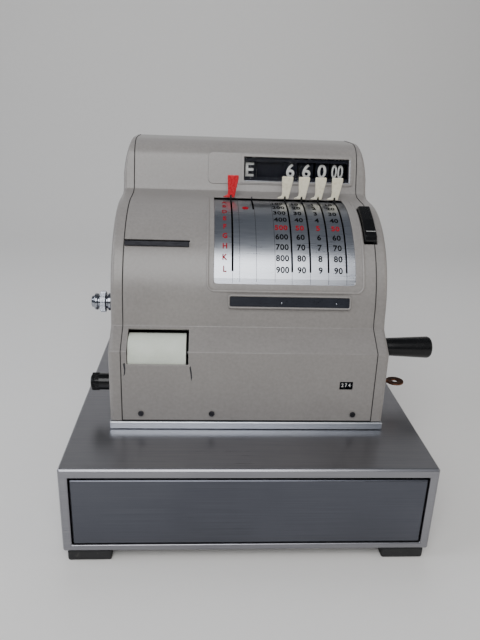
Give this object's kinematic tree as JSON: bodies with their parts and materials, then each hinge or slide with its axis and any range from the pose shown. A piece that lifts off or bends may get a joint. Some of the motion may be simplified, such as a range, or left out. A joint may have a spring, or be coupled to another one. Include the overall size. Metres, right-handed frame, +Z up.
{
  "type": "crank cash register",
  "caption": "Lever-set cash register with a hand crank, curved number plate, window with figures, paper roll and key, on a cabinet with a sliding cash drawer.",
  "frame": {"origin": "under the middle of the whole object's box, on the surface it stands on", "axes": "+X to the crank side, +Y to the back, +Z up"},
  "size_m": [0.4676, 0.43, 0.445],
  "materials": {
    "brushed_steel": "satin sheet steel with a fine grain along X",
    "satin_aluminium": "satin",
    "grey_enamel": "semi-gloss warm grey enamel",
    "black_rubber": "matt",
    "black_plastic": "polished",
    "ivory_plastic": "satin",
    "red_plastic": "satin",
    "drum_enamel": "matt dark blue",
    "chrome": "worn",
    "brown_brass": "tarnished",
    "paper": "uncoated paper",
    "glass": "clear",
    "machined_steel": "machined"
  },
  "bodies": {
    "register": {"drawer_cabinet": "brushed_steel", "foot_front_left": "black_rubber", "foot_front_right": "black_rubber", "foot_rear_left": "black_rubber", "foot_rear_right": "black_rubber", "base_plate": "satin_aluminium", "frame_left": "machined_steel", "frame_right": "machined_steel", "tie_rod_front": "machined_steel", "front_casing": "grey_enamel", "left_cover": "grey_enamel", "right_cover": "grey_enamel", "rear_cover": "grey_enamel", "keyplate": "satin_aluminium", "window_bezel": "grey_enamel", "window_glass": "glass", "tally_cover": "black_plastic", "tear_bar": "machined_steel", "lever_shaft": "machined_steel", "drum_shaft": "machined_steel", "lock_barrel": "chrome", "counter_glass": "glass", "roll_bracket": "machined_steel", "case_screw_left": "machined_steel", "case_screw_middle": "machined_steel", "case_screw_right": "machined_steel"},
    "drawer": {"drawer_tray": "brushed_steel", "drawer_front": "brushed_steel", "coin_tray": "black_plastic"},
    "latch": {"drawer_latch": "machined_steel"},
    "crank": {"crank_shaft": "machined_steel", "crank_gear": "machined_steel", "crank_arm": "chrome"},
    "grip": {"crank_grip": "black_plastic"},
    "main_shaft": {"main_shaft": "machined_steel", "main_gear": "machined_steel"},
    "lever_letters": {"lever_sector_letters": "machined_steel", "lever_tab_letters": "red_plastic"},
    "lever_hundreds": {"lever_sector_hundreds": "machined_steel", "lever_tab_hundreds": "ivory_plastic"},
    "lever_tens": {"lever_sector_tens": "machined_steel", "lever_tab_tens": "ivory_plastic"},
    "lever_units": {"lever_sector_units": "machined_steel", "lever_tab_units": "ivory_plastic"},
    "lever_parts": {"lever_sector_parts": "machined_steel", "lever_tab_parts": "ivory_plastic"},
    "function_lever": {"function_lever": "machined_steel"},
    "drum_letter": {"indicator_drum_letter": "drum_enamel"},
    "drum_hundreds": {"indicator_drum_hundreds": "drum_enamel"},
    "drum_tens": {"indicator_drum_tens": "drum_enamel"},
    "drum_units": {"indicator_drum_units": "drum_enamel"},
    "drum_parts": {"indicator_drum_parts": "drum_enamel"},
    "release_key": {"release_key": "black_plastic"},
    "lock_key": {"lock_key": "brown_brass"},
    "totals": {"reset_knob": "chrome", "totals_wheels": "black_plastic"},
    "paper_feed": {"feed_knob": "black_plastic", "feed_roller": "black_rubber"},
    "paper_roll": {"paper_roll": "paper"},
    "counter": {"counter_wheels": "black_plastic"}
  },
  "joints": [
    {"name": "drawer_slide", "type": "slide", "parent": "register", "child": "drawer", "axis": [0, -1, 0], "range_m": [0, 0.3]},
    {"name": "latch_drop", "type": "hinge", "parent": "register", "child": "latch", "pos_m": [-0.02375, 0.199, 0.1086], "axis": [1, 0, 0], "range_deg": [0, 8]},
    {"name": "crank_turn", "type": "hinge", "parent": "register", "child": "crank", "pos_m": [0.13625, 0.055, 0.245], "axis": [1, 0, 0], "continuous": true},
    {"name": "grip_spin", "type": "hinge", "parent": "crank", "child": "grip", "pos_m": [0.19625, -0.015, 0.186], "axis": [1, 0, 0], "continuous": true},
    {"name": "main_shaft_turn", "type": "hinge", "parent": "register", "child": "main_shaft", "pos_m": [0.12625, 0.09357, 0.19904], "axis": [1, 0, 0], "continuous": true},
    {"name": "lever_letters_swing", "type": "hinge", "parent": "register", "child": "lever_letters", "pos_m": [-0.04575, 0.028, 0.254], "axis": [1, 0, 0], "range_deg": [0, 63]},
    {"name": "lever_hundreds_swing", "type": "hinge", "parent": "register", "child": "lever_hundreds", "pos_m": [0.02575, 0.028, 0.254], "axis": [1, 0, 0], "range_deg": [0, 63]},
    {"name": "lever_tens_swing", "type": "hinge", "parent": "register", "child": "lever_tens", "pos_m": [0.04785, 0.028, 0.254], "axis": [1, 0, 0], "range_deg": [0, 63]},
    {"name": "lever_units_swing", "type": "hinge", "parent": "register", "child": "lever_units", "pos_m": [0.06985, 0.028, 0.254], "axis": [1, 0, 0], "range_deg": [0, 63]},
    {"name": "lever_parts_swing", "type": "hinge", "parent": "register", "child": "lever_parts", "pos_m": [0.09185, 0.028, 0.254], "axis": [1, 0, 0], "range_deg": [0, 63]},
    {"name": "function_lever_swing", "type": "hinge", "parent": "register", "child": "function_lever", "pos_m": [-0.01815, 0.028, 0.254], "axis": [1, 0, 0], "range_deg": [0, 16]},
    {"name": "drum_letter_turn", "type": "hinge", "parent": "register", "child": "drum_letter", "pos_m": [-0.01875, 0.1125, 0.409], "axis": [1, 0, 0], "continuous": true},
    {"name": "drum_hundreds_turn", "type": "hinge", "parent": "register", "child": "drum_hundreds", "pos_m": [0.03775, 0.1125, 0.409], "axis": [1, 0, 0], "continuous": true},
    {"name": "drum_tens_turn", "type": "hinge", "parent": "register", "child": "drum_tens", "pos_m": [0.06025, 0.1125, 0.409], "axis": [1, 0, 0], "continuous": true},
    {"name": "drum_units_turn", "type": "hinge", "parent": "register", "child": "drum_units", "pos_m": [0.08175, 0.1125, 0.409], "axis": [1, 0, 0], "continuous": true},
    {"name": "drum_parts_turn", "type": "hinge", "parent": "register", "child": "drum_parts", "pos_m": [0.10325, 0.1125, 0.409], "axis": [1, 0, 0], "continuous": true},
    {"name": "release_key_press", "type": "slide", "parent": "register", "child": "release_key", "axis": [0, 0.4924, -0.8704], "range_m": [0, 0.0035], "stiffness_N_per_m": 400, "springref_m": -0.004},
    {"name": "lock_key_turn", "type": "hinge", "parent": "register", "child": "lock_key", "pos_m": [0.16625, -0.065, 0.158], "axis": [1, 0, 0], "range_deg": [0, 90]},
    {"name": "reset_knob_turn", "type": "hinge", "parent": "register", "child": "totals", "pos_m": [-0.19375, -0.065, 0.262], "axis": [1, 0, 0], "continuous": true},
    {"name": "feed_knob_turn", "type": "hinge", "parent": "register", "child": "paper_feed", "pos_m": [-0.19375, -0.085, 0.164], "axis": [1, 0, 0], "continuous": true},
    {"name": "paper_roll_turn", "type": "hinge", "parent": "register", "child": "paper_roll", "pos_m": [-0.13375, -0.101, 0.2107], "axis": [1, 0, 0], "continuous": true},
    {"name": "counter_turn", "type": "hinge", "parent": "register", "child": "counter", "pos_m": [0.09325, -0.1115, 0.1808], "axis": [1, 0, 0], "continuous": true}
  ],
  "couplings": [
    {"joint": "main_shaft_turn", "follows": "crank_turn", "ratio": -1},
    {"joint": "counter_turn", "follows": "crank_turn", "ratio": 0.1}
  ]
}
